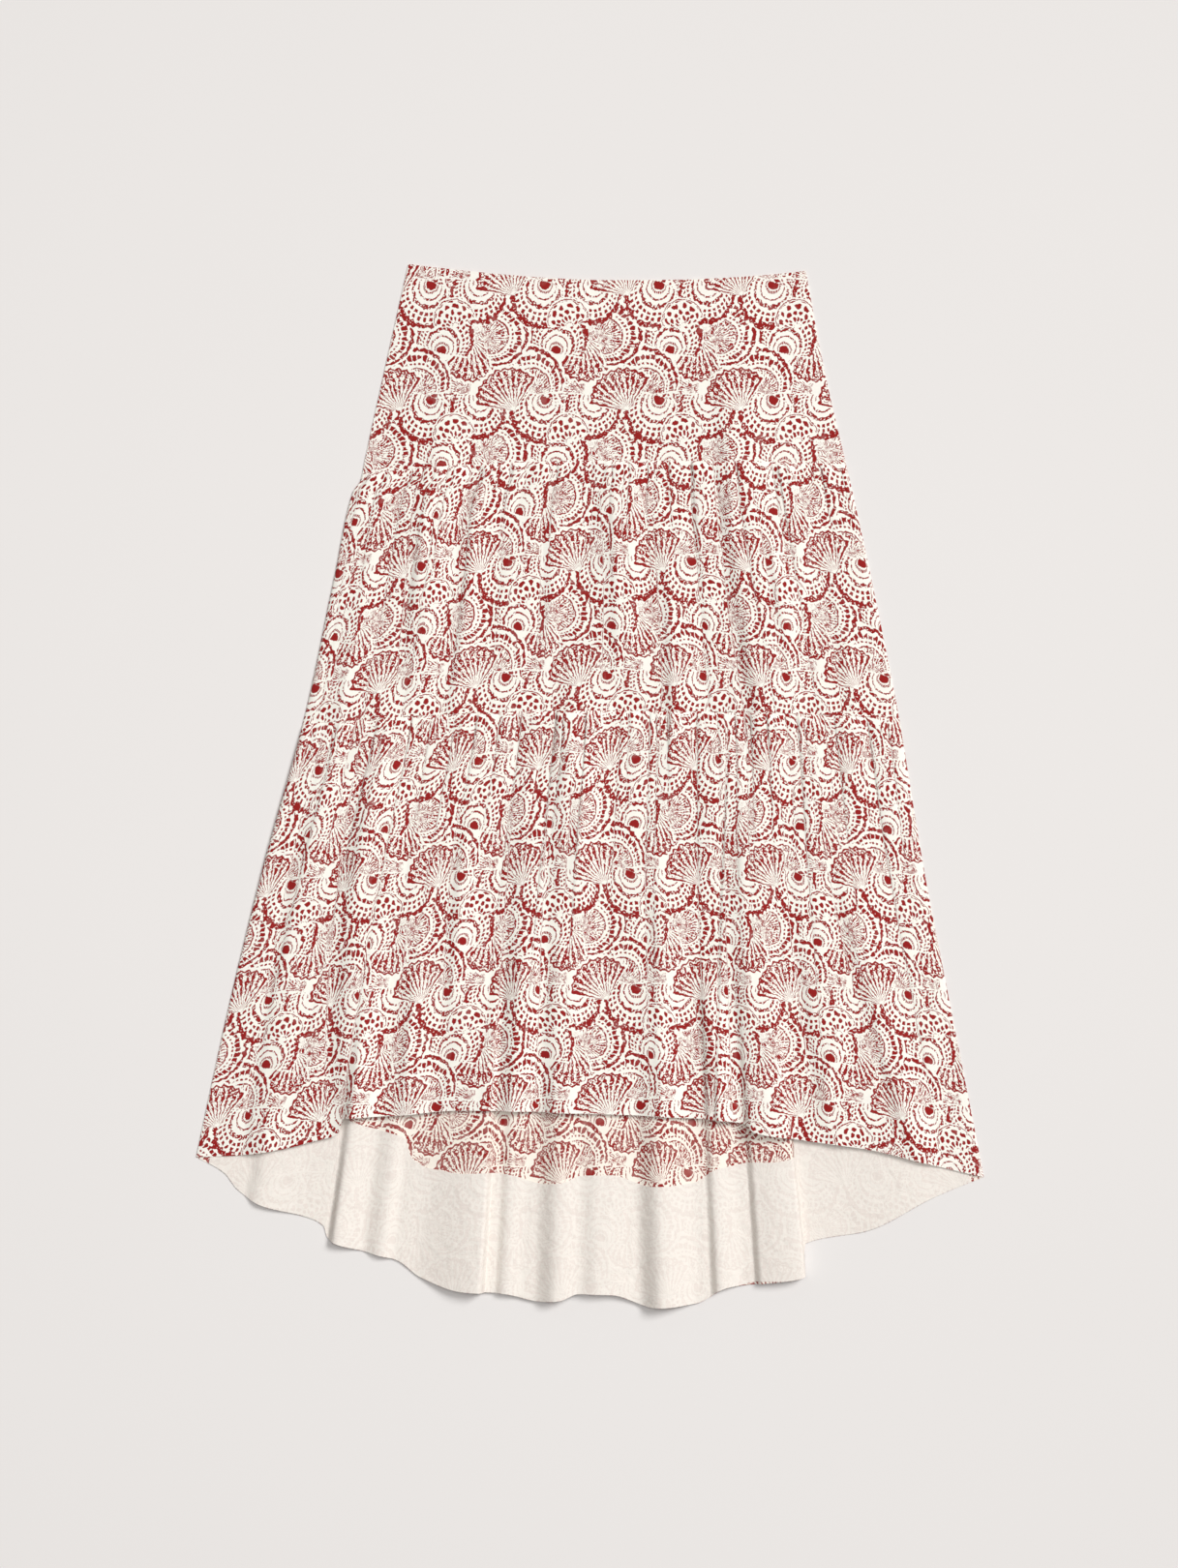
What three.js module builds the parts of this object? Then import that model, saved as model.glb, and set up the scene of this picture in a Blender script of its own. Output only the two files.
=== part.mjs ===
// Tiered midi skirt with a high-low hem, laid flat: the front panels lie on the back panels.
// Units are millimetres. X runs across the skirt, +Y towards the waist and +Z up from the surface.
// A point of the cloth is named by "across", from 0 at the left side seam to 1 at the right one,
// and by "down", its distance below the highest point of the waist.
import * as THREE from "three";

// Driving sizes
const CLOTH = 1.0; // thickness of one wall of cloth
const SEAM_GAP = 0.3; // clear space between two pieces at a seam
const FACING_DEPTH = 108; // depth of the plain facing inside the back hem
const FACING_INSET = 0.016; // how far the facing stays from the side seams, as a share across
const PUFF = 3; // how far the front stands off the back
const WAIST_PUFF = 0.35; // share of that left at the waist edge
const PUFF_REACH = 70; // distance below the waist over which the puff grows
const SIDE_ROUND = 10; // width over which the front rounds down to the side seam
const PROBE = 0.5; // distance to each side at which a slope is felt

// Gathers of the front tiers: how many, how high, and how far they run below their seam
const UPPER_GATHERS = { count: 36, height: 2.4 };
const LOWER_GATHERS = { count: 44, height: 3.0 };
const TIGHT_REACH = 9;
const SOFT_REACH = 42;
const TIGHT_SHARE = 0.7;
const UNEVEN = 0.32;
const UNEVEN_STEP = 2.4;

// Folds of the front start small and grow; a fold that ends before the hem dies away
const FOLD_GROWTH = 260;
const FOLD_FADE = 110;

// Flutes of the back rise from nothing under the front to their full height at the hem
const FLUTE_START = 590;
const FLUTE_LENGTH = 370;

// The side seams, a row for each section down the skirt
const SIDES = [
  { down: 0, left: -168.8, right: 199.4 },
  { down: 95, left: -190, right: 217 },
  { down: 186, left: -212, right: 238 },
  { down: 290, left: -237, right: 261 },
  { down: 415, left: -264, right: 286 },
  { down: 560, left: -304, right: 310 },
  { down: 700, left: -338, right: 337 },
  { down: 830, left: -366, right: 362.5 },
  { down: 960, left: -394, right: 387 },
];

// The waist edge and the two seams, by their place at the left side, the centre and the right side
const WAIST = { left: 0, centre: 15.3, right: 6.3, bendLeft: 1.6, bendRight: 2.6 };
const UPPER_SEAM = { left: 195, centre: 183, right: 186, bendLeft: 2, bendRight: 2 };
const LOWER_SEAM = { left: 428, centre: 415, right: 422, bendLeft: 2, bendRight: 2 };

// The hems, a row wherever a fold or a flute turns them
const FRONT_HEM = [
  { across: 0, down: 830 },
  { across: 0.05, down: 828.5 },
  { across: 0.11, down: 822 },
  { across: 0.15, down: 814.5 },
  { across: 0.177, down: 808.5 },
  { across: 0.182, down: 794 },
  { across: 0.25, down: 791 },
  { across: 0.34, down: 786 },
  { across: 0.46, down: 788 },
  { across: 0.625, down: 793 },
  { across: 0.7, down: 798 },
  { across: 0.716, down: 806.5 },
  { across: 0.78, down: 814.5 },
  { across: 0.86, down: 823 },
  { across: 0.93, down: 836 },
  { across: 1, down: 848.7 },
];
const BACK_HEM = [
  { across: 0, down: 830 },
  { across: 0.04, down: 845 },
  { across: 0.06, down: 860 },
  { across: 0.094, down: 875 },
  { across: 0.155, down: 886.5 },
  { across: 0.175, down: 894 },
  { across: 0.182, down: 905 },
  { across: 0.243, down: 920.5 },
  { across: 0.27, down: 926 },
  { across: 0.3, down: 941.5 },
  { across: 0.35, down: 954.5 },
  { across: 0.4, down: 956.5 },
  { across: 0.445, down: 963.8 },
  { across: 0.468, down: 962.5 },
  { across: 0.49, down: 956.8 },
  { across: 0.528, down: 957.5 },
  { across: 0.58, down: 969 },
  { across: 0.63, down: 966 },
  { across: 0.67, down: 951 },
  { across: 0.715, down: 946.8 },
  { across: 0.76, down: 940 },
  { across: 0.767, down: 910.5 },
  { across: 0.845, down: 898.5 },
  { across: 0.93, down: 868.5 },
  { across: 1, down: 848.7 },
];

// Long folds of the front: where each crest starts and ends, its height and its two half-widths
const FRONT_FOLDS = [
  { from: 60, to: 1100, top: 0.14, foot: 0.19, height: 7.5, rise: 13, fall: 34 },
  { from: 200, to: 1100, top: 0.06, foot: 0.075, height: 3, rise: 16, fall: 26 },
  { from: 190, to: 470, top: 0.25, foot: 0.25, height: 2.5, rise: 10, fall: 20 },
  { from: 600, to: 1100, top: 0.255, foot: 0.268, height: 4, rise: 9, fall: 26 },
  { from: 420, to: 760, top: 0.3, foot: 0.32, height: 3, rise: 10, fall: 20 },
  { from: 450, to: 1100, top: 0.375, foot: 0.405, height: 6, rise: 12, fall: 28 },
  { from: 190, to: 1100, top: 0.46, foot: 0.452, height: 7, rise: 14, fall: 45 },
  { from: 190, to: 600, top: 0.52, foot: 0.5, height: 4.5, rise: 12, fall: 22 },
  { from: 200, to: 1100, top: 0.62, foot: 0.6, height: 3, rise: 16, fall: 36 },
  { from: 640, to: 1100, top: 0.665, foot: 0.677, height: 4.5, rise: 8, fall: 18 },
  { from: 30, to: 1100, top: 0.77, foot: 0.722, height: 7.5, rise: 13, fall: 52 },
  { from: 430, to: 1100, top: 0.82, foot: 0.815, height: 2.5, rise: 13, fall: 34 },
  { from: 215, to: 480, top: 0.93, foot: 0.92, height: 2.5, rise: 10, fall: 20 },
  { from: 520, to: 1100, top: 0.885, foot: 0.905, height: 3.5, rise: 10, fall: 24 },
];

// Flutes of the back at its hem
const BACK_FLUTES = [
  { across: 0.109, height: 5, rise: 36, fall: 35 },
  { across: 0.196, height: 8, rise: 15, fall: 26 },
  { across: 0.246, height: 5, rise: 16, fall: 24 },
  { across: 0.362, height: 11, rise: 58, fall: 20 },
  { across: 0.4, height: 4, rise: 11, fall: 16 },
  { across: 0.45, height: 9.5, rise: 28, fall: 30 },
  { across: 0.511, height: 6, rise: 22, fall: 42 },
  { across: 0.599, height: 12, rise: 26, fall: 34 },
  { across: 0.6625, height: 6.5, rise: 15, fall: 22 },
  { across: 0.74, height: 11, rise: 28, fall: 19 },
  { across: 0.9, height: 2.5, rise: 70, fall: 50 },
];

// Sections down each piece, in millimetres below its top seam; the last one is its lower edge
const YOKE_SECTIONS = [0, 12, 45, 85, 125];
const UPPER_TIER_SECTIONS = [0, 5, 14, 30, 60, 110, 170];
const LOWER_TIER_SECTIONS = [0, 5, 14, 32, 65, 120, 200, 290];
const BACK_LOWER_SECTIONS = [0, 90, 180, 250];
const FACING_STEPS = 5;

// Columns across the pieces that have no gathers. The fluted ones also have a column at each turn
// of the back hem, and no other column stands closer to it than this share across.
const YOKE_COLUMNS = 30;
const BACK_COLUMNS = 16;
const FLUTE_COLUMNS = 76;
const CLEAR_OF_TURN = 0.005;

const printedCotton = new THREE.MeshStandardMaterial({ color: 0xe2b9ab, roughness: 0.9, metalness: 0 });
const plainCotton = new THREE.MeshStandardMaterial({ color: 0xf5ece1, roughness: 0.9, metalness: 0 });

const smooth = (t) => {
  const c = Math.min(Math.max(t, 0), 1);
  return c * c * (3 - 2 * c);
};

// One rounded crest, 1 at its middle and 0 beyond its two half-widths
function crest(distance, rise, fall) {
  const share = distance < 0 ? -distance / rise : distance / fall;
  return share >= 1 ? 0 : (1 + Math.cos(Math.PI * share)) / 2;
}

// A smooth curve through one column of a table. It doesn't swing past the rows at a sharp step.
function curveThrough(rows, place, column) {
  const last = rows.length - 1;
  const secant = (i) => (rows[i + 1][column] - rows[i][column]) / (rows[i + 1][place] - rows[i][place]);
  const slopes = rows.map((_, i) => {
    if (i === 0) return secant(0);
    if (i === last) return secant(last - 1);
    const before = secant(i - 1);
    const after = secant(i);
    return before * after <= 0 ? 0 : (2 * before * after) / (before + after);
  });
  return (at) => {
    let i = 0;
    while (i < last - 1 && at > rows[i + 1][place]) i += 1;
    const step = rows[i + 1][place] - rows[i][place];
    const t = (at - rows[i][place]) / step;
    if (t > 1) return rows[last][column] + slopes[last] * (t - 1) * step;
    const t2 = t * t;
    const t3 = t2 * t;
    return (
      (2 * t3 - 3 * t2 + 1) * rows[i][column] +
      (t3 - 2 * t2 + t) * step * slopes[i] +
      (3 * t2 - 2 * t3) * rows[i + 1][column] +
      (t3 - t2) * step * slopes[i + 1]
    );
  };
}

const leftSide = curveThrough(SIDES, "down", "left");
const rightSide = curveThrough(SIDES, "down", "right");
const widthAt = (down) => rightSide(down) - leftSide(down);
const placeAt = (across, down) => leftSide(down) + across * widthAt(down);

// The waist edge or a seam as a function of across
function bentEdge({ left, centre, right, bendLeft, bendRight }) {
  return (across) => {
    const side = across < 0.5 ? left : right;
    const bend = across < 0.5 ? bendLeft : bendRight;
    return centre + (side - centre) * Math.abs(2 * across - 1) ** bend;
  };
}

const waist = bentEdge(WAIST);
const upperSeam = bentEdge(UPPER_SEAM);
const lowerSeam = bentEdge(LOWER_SEAM);
const frontHem = curveThrough(FRONT_HEM, "across", "down");
const backHem = curveThrough(BACK_HEM, "across", "down");
const facingTop = (across) => backHem(across) - FACING_DEPTH;

// 0 on a side seam, rising in a quarter round to 1 inside it
function sideRound(across, down) {
  const inside = (Math.min(across, 1 - across) * widthAt(down)) / SIDE_ROUND;
  return Math.sqrt(1 - (1 - Math.min(Math.max(inside, 0), 1)) ** 2);
}

// Underside of the back: 0 where it rests on the surface
function backForm(across, down) {
  const grown = smooth((down - FLUTE_START) / FLUTE_LENGTH);
  if (grown === 0) return 0;
  const span = widthAt(down);
  const flutes = BACK_FLUTES.reduce(
    (sum, f) => sum + f.height * crest((across - f.across) * span, f.rise, f.fall),
    0,
  );
  return flutes * grown * sideRound(across, down);
}

// Long folds of the front at a point, before the side seams flatten them
function foldsAt(across, down) {
  const span = widthAt(down);
  return FRONT_FOLDS.reduce((sum, f) => {
    const run = Math.min(Math.max((down - f.from) / (frontHem(f.foot) - f.from), 0), 1);
    const middle = f.top + (f.foot - f.top) * run;
    const grown = smooth((down - f.from) / FOLD_GROWTH) * smooth((f.to - down) / FOLD_FADE);
    return sum + f.height * grown * crest((across - middle) * span, f.rise, f.fall);
  }, 0);
}

// Underside of the front, without its gathers
function frontForm(across, down) {
  const below = smooth((down - waist(across)) / PUFF_REACH);
  const puff = PUFF * (WAIST_PUFF + (1 - WAIST_PUFF) * below);
  const stand = (puff + foldsAt(across, down)) * sideRound(across, down);
  return backForm(across, down) + CLOTH + SEAM_GAP + stand;
}

// Gathers of one tier: the columns where they turn, and how high the cloth stands on each
function gathers({ count, height }) {
  const widths = Array.from({ length: count }, (_, i) => 1 + UNEVEN * Math.sin(UNEVEN_STEP * i));
  const whole = widths.reduce((a, b) => a + b, 0);
  const columns = [];
  let at = 0;
  widths.forEach((width, i) => {
    const lift = height * (1 + UNEVEN * Math.cos(UNEVEN_STEP * i));
    columns.push({ across: at / whole, lift: 0 });
    columns.push({ across: (at + 0.4 * width) / whole, lift });
    columns.push({ across: (at + 0.68 * width) / whole, lift: 0.55 * lift });
    at += width;
  });
  columns.push({ across: 1, lift: 0 });
  return columns;
}

const evenColumns = (count) =>
  Array.from({ length: count + 1 }, (_, i) => ({ across: i / count, lift: 0 }));

// Even columns, with those near a turn of the hem moved onto it
function turningColumns(count, hem) {
  const turns = hem.map(({ across }) => across);
  const clear = ({ across }) => turns.every((turn) => Math.abs(turn - across) > CLEAR_OF_TURN);
  const places = [...turns, ...evenColumns(count).filter(clear).map(({ across }) => across)];
  return places.sort((a, b) => a - b).map((across) => ({ across, lift: 0 }));
}

// How strong the gathers are at a distance below their seam: flat in the stitching, then full
function gatherStrength(below) {
  const pulse = (reach) => (below / reach) * Math.exp(1 - below / reach);
  return TIGHT_SHARE * pulse(TIGHT_REACH) + (1 - TIGHT_SHARE) * pulse(SOFT_REACH);
}

// Lines across a piece: its sections below the top edge, then its lower edge
function sectionLines(top, bottom, sections) {
  const lines = sections.map((s) => (across) => top(across) + s);
  return [...lines, bottom];
}

// How much longer a wall is along Z than square to itself, where the form and the gathers slope
function squareness(form, before, point, after) {
  const span = widthAt(point.down);
  const formAt = (shift) => form(point.across + shift / span, point.down);
  const formSlope = (formAt(PROBE) - formAt(-PROBE)) / (2 * PROBE);
  const puckerSlope = (a, b) => (a === b ? 0 : Math.abs((b.pucker - a.pucker) / (b.x - a.x)));
  const steepest = Math.abs(formSlope) + Math.max(puckerSlope(before, point), puckerSlope(point, after));
  return Math.sqrt(1 + steepest * steepest);
}

// A closed wall of cloth over a form. Its points stay in place across and down, and its
// thickness is kept square to the slope. "layer" counts the walls that lie under it.
function clothWall(name, material, columns, lines, form, options = {}) {
  const { layer = 0, gathered = null, topGap = 0, bottomGap = 0 } = options;
  const wide = columns.length;
  const tall = lines.length;
  const under = [];
  const over = [];
  lines.forEach((line, j) => {
    const trim = j === 0 ? topGap : j === tall - 1 ? -bottomGap : 0;
    const points = columns.map(({ across, lift }) => {
      const down = line(across) + trim;
      const strength = gathered ? gatherStrength(down - gathered(across)) : 0;
      const pucker = lift * strength * sideRound(across, down);
      return { across, down, x: placeAt(across, down), pucker };
    });
    points.forEach((point, i) => {
      const square = squareness(form, points[i - 1] ?? point, point, points[i + 1] ?? point);
      const lifted = form(point.across, point.down) + point.pucker;
      const base = lifted + layer * (CLOTH + SEAM_GAP) * square;
      under.push(point.x, -point.down, base);
      over.push(point.x, -point.down, base + CLOTH * square);
    });
  });
  const half = wide * tall;
  const index = [];
  const quad = (a, b, c, d) => index.push(a, b, c, a, c, d);
  const at = (i, j) => j * wide + i;
  for (let j = 0; j < tall - 1; j += 1) {
    for (let i = 0; i < wide - 1; i += 1) {
      quad(at(i, j), at(i + 1, j), at(i + 1, j + 1), at(i, j + 1));
      quad(half + at(i, j), half + at(i, j + 1), half + at(i + 1, j + 1), half + at(i + 1, j));
    }
  }
  const rim = (a, b) => quad(a, half + a, half + b, b);
  for (let i = 0; i < wide - 1; i += 1) {
    rim(at(i, 0), at(i + 1, 0));
    rim(at(i + 1, tall - 1), at(i, tall - 1));
  }
  for (let j = 0; j < tall - 1; j += 1) {
    rim(at(0, j + 1), at(0, j));
    rim(at(wide - 1, j), at(wide - 1, j + 1));
  }
  const geometry = new THREE.BufferGeometry();
  geometry.setAttribute("position", new THREE.Float32BufferAttribute([...under, ...over], 3));
  geometry.setIndex(index);
  geometry.computeVertexNormals();
  const mesh = new THREE.Mesh(geometry, material);
  mesh.name = name;
  return mesh;
}

const HALF_GAP = SEAM_GAP / 2;
const flat = () => 0;

function frontPanels() {
  const yoke = clothWall(
    "front_yoke",
    printedCotton,
    evenColumns(YOKE_COLUMNS),
    sectionLines(waist, upperSeam, YOKE_SECTIONS),
    frontForm,
    { bottomGap: HALF_GAP },
  );
  const upper = clothWall(
    "front_upper_tier",
    printedCotton,
    gathers(UPPER_GATHERS),
    sectionLines(upperSeam, lowerSeam, UPPER_TIER_SECTIONS),
    frontForm,
    { gathered: upperSeam, topGap: HALF_GAP, bottomGap: HALF_GAP },
  );
  const lower = clothWall(
    "front_lower_tier",
    printedCotton,
    gathers(LOWER_GATHERS),
    sectionLines(lowerSeam, frontHem, LOWER_TIER_SECTIONS),
    frontForm,
    { gathered: lowerSeam, topGap: HALF_GAP },
  );
  return [yoke, upper, lower];
}

function backPanels() {
  const fluted = turningColumns(FLUTE_COLUMNS, BACK_HEM);
  const steps = Array.from({ length: FACING_STEPS + 1 }, (_, i) => i / FACING_STEPS);
  const facingLines = steps.map((s) => (across) => facingTop(across) + FACING_DEPTH * s);
  const yoke = clothWall(
    "back_yoke",
    printedCotton,
    evenColumns(BACK_COLUMNS),
    sectionLines(waist, upperSeam, [0, 90]),
    flat,
    { bottomGap: HALF_GAP },
  );
  const upper = clothWall(
    "back_upper_tier",
    printedCotton,
    evenColumns(BACK_COLUMNS),
    sectionLines(upperSeam, lowerSeam, [0, 115]),
    flat,
    { topGap: HALF_GAP, bottomGap: HALF_GAP },
  );
  const lower = clothWall(
    "back_lower_tier",
    printedCotton,
    fluted,
    [...BACK_LOWER_SECTIONS.map((s) => (across) => lowerSeam(across) + s), ...facingLines],
    backForm,
    { topGap: HALF_GAP },
  );
  const facing = clothWall(
    "back_hem_facing",
    plainCotton,
    fluted.filter(({ across }) => across > FACING_INSET && across < 1 - FACING_INSET),
    facingLines,
    backForm,
    { layer: 1 },
  );
  return [yoke, upper, lower, facing];
}

const skirt = new THREE.Group();
skirt.name = "tiered_skirt";
skirt.add(...backPanels(), ...frontPanels());

// The origin is under the middle of the skirt's box, on the surface that it lies on
const box = new THREE.Box3().setFromObject(skirt);
const centre = box.getCenter(new THREE.Vector3());
skirt.position.set(-centre.x, -centre.y, -box.min.z);

export default skirt;
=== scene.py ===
import math
from collections import namedtuple
from functools import partial, reduce

import bmesh
import bpy
import numpy as np
from bpy.props import FloatProperty, FloatVectorProperty, IntProperty, PointerProperty
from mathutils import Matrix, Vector


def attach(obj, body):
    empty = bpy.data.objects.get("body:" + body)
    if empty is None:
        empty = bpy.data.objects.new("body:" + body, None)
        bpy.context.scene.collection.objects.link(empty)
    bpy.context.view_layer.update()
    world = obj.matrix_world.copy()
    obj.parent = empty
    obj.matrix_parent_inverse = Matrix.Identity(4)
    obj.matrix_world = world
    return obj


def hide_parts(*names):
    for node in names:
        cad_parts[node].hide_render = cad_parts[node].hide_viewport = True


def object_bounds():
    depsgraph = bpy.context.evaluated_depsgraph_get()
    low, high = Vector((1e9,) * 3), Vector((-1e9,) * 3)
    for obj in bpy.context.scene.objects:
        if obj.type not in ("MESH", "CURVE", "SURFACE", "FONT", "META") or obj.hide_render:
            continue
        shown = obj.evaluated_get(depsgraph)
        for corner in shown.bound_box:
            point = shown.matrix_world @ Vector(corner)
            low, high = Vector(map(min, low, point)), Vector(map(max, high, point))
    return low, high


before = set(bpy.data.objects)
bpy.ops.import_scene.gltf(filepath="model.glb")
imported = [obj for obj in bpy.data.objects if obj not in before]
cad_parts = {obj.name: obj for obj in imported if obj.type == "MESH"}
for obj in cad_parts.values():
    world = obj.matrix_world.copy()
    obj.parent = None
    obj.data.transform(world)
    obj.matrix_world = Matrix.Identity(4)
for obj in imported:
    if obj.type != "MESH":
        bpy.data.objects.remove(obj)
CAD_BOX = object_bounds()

bl_info = {
    "name": "Tiered Skirt",
    "version": (1, 0, 0),
    "blender": (4, 5, 0),
    "location": "View3D > Sidebar > Skirt",
    "description": "Builds the cloth, the print and the stitches of a tiered skirt that lies flat",
    "category": "Add Mesh",
}

# The tables are in millimetres and the frame is in metres
MM = 0.001

# The side seams: distance below the waist, left side, right side
SIDES = [
    (0, -168.8, 199.4), (95, -190, 217), (186, -210, 238), (201, -213, 241.5), (212, -220.5, 244),
    (290, -237.5, 261), (415, -264, 286), (560, -304, 310), (700, -338, 337), (830, -366, 362.5),
    (960, -394, 387),
]

# Edges that run across: distance below the waist's highest point at the left side, the centre and
# the right side, and how sharply the left and the right half bend
WAIST = (0, 15.3, 6.3, 1.6, 2.6)
UPPER_SEAM = (195, 183, 186, 2, 2)
LOWER_SEAM = (428, 415, 422, 2, 2)

# The hems, at each place where they turn: share across, distance below the waist
FRONT_HEM = [
    (0, 830), (0.05, 828.5), (0.11, 822), (0.15, 814.5), (0.177, 808.5), (0.182, 794), (0.25, 791),
    (0.34, 786), (0.46, 788), (0.625, 793), (0.7, 798), (0.716, 806.5), (0.78, 814.5), (0.86, 823),
    (0.93, 836), (1, 848.7),
]
BACK_HEM = [
    (0, 830), (0.04, 845), (0.06, 860), (0.094, 875), (0.155, 886.5), (0.175, 894), (0.182, 905),
    (0.243, 920.5), (0.27, 926), (0.3, 941.5), (0.35, 954.5), (0.4, 956.5), (0.445, 963.8),
    (0.468, 962.5), (0.49, 956.8), (0.528, 957.5), (0.58, 969), (0.63, 966), (0.67, 951),
    (0.715, 946.8), (0.76, 940), (0.767, 910.5), (0.845, 898.5), (0.93, 868.5), (1, 848.7),
]
# Depth of the facing as it shows: share across, depth. A flute's steep side shortens it.
FACING_DEPTHS = [
    (0, 111), (0.262, 113), (0.276, 97), (0.32, 105), (0.37, 111), (0.45, 109), (0.58, 112),
    (0.76, 110), (1, 109),
]
# Share of the width that the facing leaves bare at each side, and how far from the hem it ends
FACING_INSET = 0.016
FACING_GAP = 0.2
# It ends further from the hem here: distance, place across, half-widths left and right
FACING_STEP = (2.0, 0.705, 22, 26)

# Long folds of the front: start and end below the waist, place across at the start, half way and at
# the end or the hem, height, half-width on the left and on the right, and how far the crest leans
# right for its height
FRONT_FOLDS = [
    (90, 440, 0.148, 0.163, 0.178, 4.6, 15, 30, -0.2),
    (350, 1100, 0.142, 0.157, 0.192, 7.5, 24, 38, -0.1),
    (200, 1100, 0.06, 0.064, 0.075, 3, 14, 26, 0),
    (190, 470, 0.25, 0.254, 0.246, 2.8, 11, 20, 0),
    (600, 1100, 0.255, 0.258, 0.268, 4.4, 14, 26, 0),
    (420, 760, 0.3, 0.306, 0.32, 3.2, 11, 20, 0),
    (430, 1100, 0.397, 0.403, 0.397, 6.2, 19, 28, 0),
    (200, 400, 0.4, 0.404, 0.4, 2.8, 10, 22, 0),
    (440, 640, 0.476, 0.478, 0.474, 3.2, 11, 20, 0),
    (180, 410, 0.523, 0.53, 0.523, 5.4, 15, 28, 0),
    (310, 1100, 0.446, 0.459, 0.458, 6.6, 20, 40, 0),
    (200, 520, 0.62, 0.626, 0.61, 3, 12, 30, 0),
    (480, 1100, 0.602, 0.6, 0.6, 3.4, 13, 34, 0),
    (640, 1100, 0.665, 0.668, 0.677, 4.2, 13, 18, 0),
    (60, 530, 0.776, 0.762, 0.788, 6, 17, 46, -0.1),
    (380, 1100, 0.75, 0.73, 0.716, 6.5, 20, 46, -0.1),
    (330, 1100, 0.735, 0.7, 0.669, 2.2, 4, 20, -0.3),
    (200, 430, 0.83, 0.828, 0.835, 2.8, 10, 26, 0),
    (430, 1100, 0.82, 0.81, 0.815, 3, 13, 34, 0),
    (215, 480, 0.93, 0.927, 0.92, 2.6, 10, 20, 0),
    (500, 1100, 0.876, 0.89, 0.924, 4.4, 14, 28, 0),
]
# A fold grows over this distance, or over half its length, and fades over this one at its end
FOLD_GROWTH = 180
FOLD_FADE = 110
# Its crest rolls: mean share of its height, swing, and length of a roll
FOLD_ROLL = (0.8, 0.3, 75)

# Flutes of the back at its hem: place across, height, half-widths left and right, and lean. The
# last is broad and lifts the whole hem.
BACK_FLUTES = [
    (0.09, 5, 15, 48, 0), (0.196, 8, 11, 26, -0.3), (0.25, 5, 18, 14, 0), (0.368, 11, 60, 9, 0.2),
    (0.402, 4, 9, 18, 0), (0.464, 9.5, 21, 30, 0), (0.511, 6, 22, 40, 0), (0.59, 12, 22, 36, 0),
    (0.66, 6.5, 8, 24, -0.2), (0.712, 6, 8, 42, -0.2), (0.754, 8.5, 40, 8, 0.5),
    (0.9, 2.5, 70, 50, 0), (0.5, 3.2, 270, 240, 0),
]
# They start this far below the waist and grow over this length
FLUTE_START = 590
FLUTE_LENGTH = 370

# Gathers under the front's seams: waves across, height, and reach below the seam
UPPER_GATHERS = [(44, 1.6, 18), (22, 2.3, 80), (13, 2.3, 210)]
LOWER_GATHERS = [(54, 1.6, 22), (28, 2.5, 100), (15, 2.7, 260)]
# The same under the back's seams, where the skirt's weight presses them
BACK_GATHERS = [(48, 0.8, 13), (23, 0.8, 34)]
# Puckers that the stitching draws into the piece above a gathered seam
YOKE_PUCKERS = [(44, 0.5, 8)]
TIER_PUCKERS = [(54, 0.6, 12)]
# A gather rises from its seam over this distance and leans this far for its height, and this share
# of them leans left
GATHER_START = 2.2
GATHER_LEAN = 0.45
GATHER_LEFT = 0.65
# Noise moves them sideways by this share of a gather, and changes this fast from one to the next.
# The second kind also changes down the cloth, over this many reaches.
GATHER_SPACING = (0.5, 0.37)
GATHER_SWAY = (0.28, 0.5, 2.2)
# Least share of its row's height and reach that a gather has, and how much more it may have
GATHER_HEIGHTS = (0.35, 0.65)
GATHER_REACHES = (0.6, 0.9)

# Creases left from wear and folding: length across, length down, height, seed
YOKE_CREASES = [(70, 130, 0.9, 3), (26, 70, 0.25, 5)]
TIER_CREASES = [(46, 260, 1.4, 11), (15, 110, 0.7, 13), (6.5, 60, 0.18, 17)]
BACK_CREASES = [(60, 220, 0.5, 19), (18, 90, 0.25, 23)]
# How far they bend sideways, as a share of their length across
CREASE_BEND = 0.4
# Share of the finer creases of a tier that the free hem of the back has
HEM_RIPPLE = 0.4

# Heights: the back's underside over the surface, then the facing's upper side and the front's over
# the back's underside, the front's inside the side seams and on them
FLOOR_CLEARANCE = 0.05
FACING_LIFT = 0.95
FRONT_STACK = 2.05
SEAM_STACK = 0.95
# The front's puff, its share of that at the waist, and how far from the waist and from the side
# seams it is whole. The sides turn down in a quarter round.
PUFF = 3
WAIST_PUFF = 0.35
PUFF_REACH = 70
SIDE_PUFF_REACH = 75
SIDE_ROUND = 8
# Beside stitching the cloth sinks this far, over this distance, and this gap parts two pieces
SEAM_DIP = 0.05
SEAM_DIP_REACH = 2
SEAM_GAP = 0.01
# Creases fade out on the way to a seam over this distance
SEAM_FADE = 30

# Cloth that doesn't show is tucked in at the foot of each steep side. It takes this share of what
# the piece was cut wider, and a foot takes this much more than a slope of the same height.
TUCKED_SHARE = 0.85
FOOT_TAKES = 14

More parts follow.
